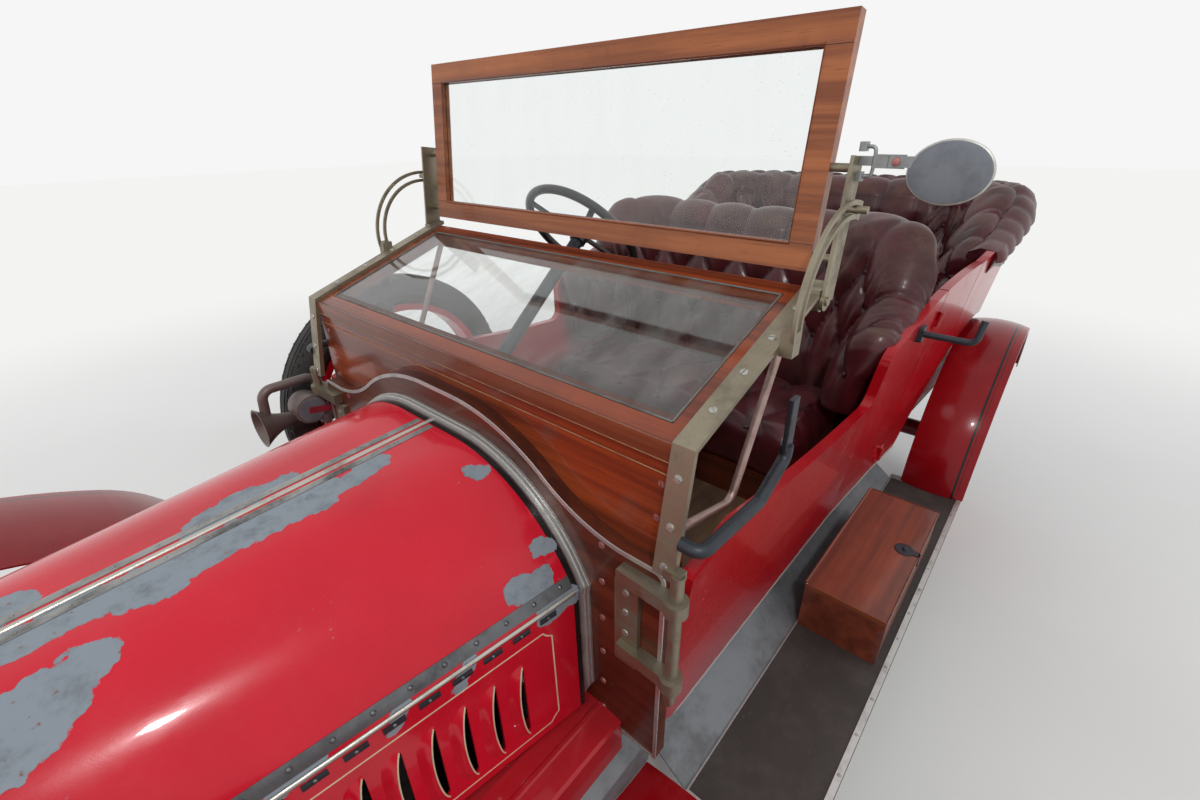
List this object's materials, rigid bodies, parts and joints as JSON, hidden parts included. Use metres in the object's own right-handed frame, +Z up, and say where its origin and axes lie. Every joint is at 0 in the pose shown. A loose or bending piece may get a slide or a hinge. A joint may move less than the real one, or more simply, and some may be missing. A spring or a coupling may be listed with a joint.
{
  "type": "veteran open tourer car of about 1912, right-hand drive",
  "caption": "Open touring car with a folding screen over a glazed wooden scuttle, louvred bonnet, buttoned seats, running boards, spare tyre, wooden-spoked wheels and steering.",
  "frame": {"origin": "middle of the car's length and width, on the ground", "axes": "+X forward, +Y to the car's left, +Z up"},
  "size_m": [4.1, 1.724, 1.8369],
  "materials": {
    "bonnet_red": "gloss enamel, chipped down to grey primer",
    "body_red": "gloss enamel, worn pale along its edges",
    "wing_red": "gloss enamel with a thin dark line",
    "chassis_red": "old enamel with road dust",
    "wheel_red": "gloss enamel",
    "tyre_rubber": "black rubber",
    "dark_mahogany": "varnished dark mahogany",
    "scuttle_mahogany": "varnished orange-red mahogany",
    "screen_wood": "varnished cherry-brown wood",
    "box_wood": "stained red-brown wood",
    "floor_wood": "dark floor boards",
    "old_brass": "dull brass, grey with age",
    "nickel": "dull nickel plate",
    "black_iron": "blue-black forged iron",
    "rod_steel": "bare steel rod, pinkish with age",
    "spring_steel": "dark spring steel",
    "zinc_sheet": "grey sheet, marked by feet",
    "board_cover": "dark ribbed cover with bright edge strips",
    "engine_alloy": "cast alloy, oily",
    "core_metal": "blackened tubes",
    "glass": "dusty plate glass",
    "seat_leather": "buttoned maroon-brown leather",
    "mirror_back": "grey painted back with a pale rim",
    "horn_bronze": "brown bronze"
  },
  "bodies": {
    "car": {"spare_tyre": "tyre_rubber", "spare_rim": "wheel_red", "front_axle": "chassis_red", "rear_axle": "chassis_red", "chassis_frame": "chassis_red", "board_irons": "chassis_red", "leaf_springs": "spring_steel", "engine_block": "engine_alloy", "radiator_shell": "nickel", "bonnet_rod": "nickel", "radiator_core": "core_metal", "firewall": "dark_mahogany", "scuttle_box": "scuttle_mahogany", "scuttle_pane": "glass", "screen_quadrants": "old_brass", "screen_pillars": "old_brass", "pillar_brackets": "old_brass", "headlamps": "old_brass", "screen_stays": "rod_steel", "lamp_irons": "black_iron", "hood_irons": "black_iron", "exhaust": "black_iron", "steering_column": "black_iron", "running_boards": "board_cover", "aprons": "zinc_sheet", "toolbox": "box_wood", "front_wings": "wing_red", "rear_wings": "wing_red", "body_sides": "body_red", "body_rear": "body_red", "floor_boards": "floor_wood", "seat_boxes": "floor_wood", "front_seat_cushion": "seat_leather", "rear_seat_cushion": "seat_leather", "front_seat_back": "seat_leather", "rear_seat_back": "seat_leather", "horn": "horn_bronze"},
    "front_left_wheel": {"tyre_front_left": "tyre_rubber", "wheel_front_left": "wheel_red"},
    "front_right_wheel": {"tyre_front_right": "tyre_rubber", "wheel_front_right": "wheel_red"},
    "rear_left_wheel": {"tyre_rear_left": "tyre_rubber", "wheel_rear_left": "wheel_red"},
    "rear_right_wheel": {"tyre_rear_right": "tyre_rubber", "wheel_rear_right": "wheel_red"},
    "knuckle_left": {"knuckle_left": "chassis_red"},
    "knuckle_right": {"knuckle_right": "chassis_red"},
    "track_rod": {"track_rod": "chassis_red"},
    "steering_wheel": {"steering_wheel": "black_iron"},
    "screen": {"screen_frame": "screen_wood", "screen_pane": "glass", "screen_arms": "old_brass", "mirror": "mirror_back"},
    "bonnet_top_left": {"bonnet_top_left": "bonnet_red"},
    "bonnet_side_left": {"bonnet_side_left": "bonnet_red"},
    "door_left": {"door_left": "body_red"},
    "bonnet_top_right": {"bonnet_top_right": "bonnet_red"},
    "bonnet_side_right": {"bonnet_side_right": "bonnet_red"},
    "door_right": {"door_right": "body_red"},
    "toolbox_lid": {"toolbox_lid": "box_wood"}
  },
  "joints": [
    {"name": "steer_left", "type": "hinge", "parent": "car", "child": "knuckle_left", "pos_m": [1.62, 0.59, 0.41], "axis": [0, 0, 1], "range_deg": [-28, 28]},
    {"name": "steer_right", "type": "hinge", "parent": "car", "child": "knuckle_right", "pos_m": [1.62, -0.59, 0.41], "axis": [0, 0, 1], "range_deg": [-28, 28]},
    {"name": "track_rod_pin", "type": "hinge", "parent": "knuckle_left", "child": "track_rod", "pos_m": [1.47, 0.59, 0.348], "axis": [0, 0, 1], "range_deg": [-28, 28]},
    {"name": "steering_wheel_turn", "type": "hinge", "parent": "car", "child": "steering_wheel", "pos_m": [-0.15, -0.28, 1.38], "axis": [-0.766, 0, 0.6428], "range_deg": [-340, 340]},
    {"name": "front_left_roll", "type": "hinge", "parent": "knuckle_left", "child": "front_left_wheel", "pos_m": [1.62, 0.7, 0.41], "axis": [0, 1, 0], "continuous": true},
    {"name": "rear_left_roll", "type": "hinge", "parent": "car", "child": "rear_left_wheel", "pos_m": [-1.48, 0.7, 0.41], "axis": [0, 1, 0], "continuous": true},
    {"name": "front_right_roll", "type": "hinge", "parent": "knuckle_right", "child": "front_right_wheel", "pos_m": [1.62, -0.7, 0.41], "axis": [0, 1, 0], "continuous": true},
    {"name": "rear_right_roll", "type": "hinge", "parent": "car", "child": "rear_right_wheel", "pos_m": [-1.48, -0.7, 0.41], "axis": [0, 1, 0], "continuous": true},
    {"name": "screen_fold", "type": "hinge", "parent": "car", "child": "screen", "pos_m": [0.18, 0, 1.404], "axis": [0, 1, 0], "range_deg": [0, 80]},
    {"name": "door_left_swing", "type": "hinge", "parent": "car", "child": "door_left", "pos_m": [-0.72, 0.58735, 0.57], "axis": [0, -0.1219, -0.9925], "range_deg": [0, 75]},
    {"name": "bonnet_left_lift", "type": "hinge", "parent": "car", "child": "bonnet_top_left", "pos_m": [0.623, 0, 1.141], "axis": [0.9985, 0, -0.0549], "range_deg": [0, 68]},
    {"name": "bonnet_left_drop", "type": "hinge", "parent": "bonnet_top_left", "child": "bonnet_side_left", "pos_m": [0.623, 0.405, 0.937], "axis": [0.9876, -0.1502, -0.0447], "range_deg": [-68, 0]},
    {"name": "door_right_swing", "type": "hinge", "parent": "car", "child": "door_right", "pos_m": [-0.72, -0.58735, 0.57], "axis": [0, -0.1219, 0.9925], "range_deg": [0, 75]},
    {"name": "bonnet_right_lift", "type": "hinge", "parent": "car", "child": "bonnet_top_right", "pos_m": [0.623, 0, 1.141], "axis": [-0.9985, 0, 0.0549], "range_deg": [0, 68]},
    {"name": "bonnet_right_drop", "type": "hinge", "parent": "bonnet_top_right", "child": "bonnet_side_right", "pos_m": [0.623, -0.405, 0.937], "axis": [-0.9876, -0.1502, 0.0447], "range_deg": [-68, 0]},
    {"name": "toolbox_lid_lift", "type": "hinge", "parent": "car", "child": "toolbox_lid", "pos_m": [-0.3025, 0.62, 0.587], "axis": [1, 0, 0], "range_deg": [0, 90]}
  ],
  "couplings": [
    {"joint": "steer_right", "follows": "steer_left", "ratio": 1},
    {"joint": "track_rod_pin", "follows": "steer_left", "ratio": -1},
    {"joint": "steering_wheel_turn", "follows": "steer_left", "ratio": 12},
    {"joint": "bonnet_left_drop", "follows": "bonnet_left_lift", "ratio": -1},
    {"joint": "bonnet_right_drop", "follows": "bonnet_right_lift", "ratio": -1}
  ]
}
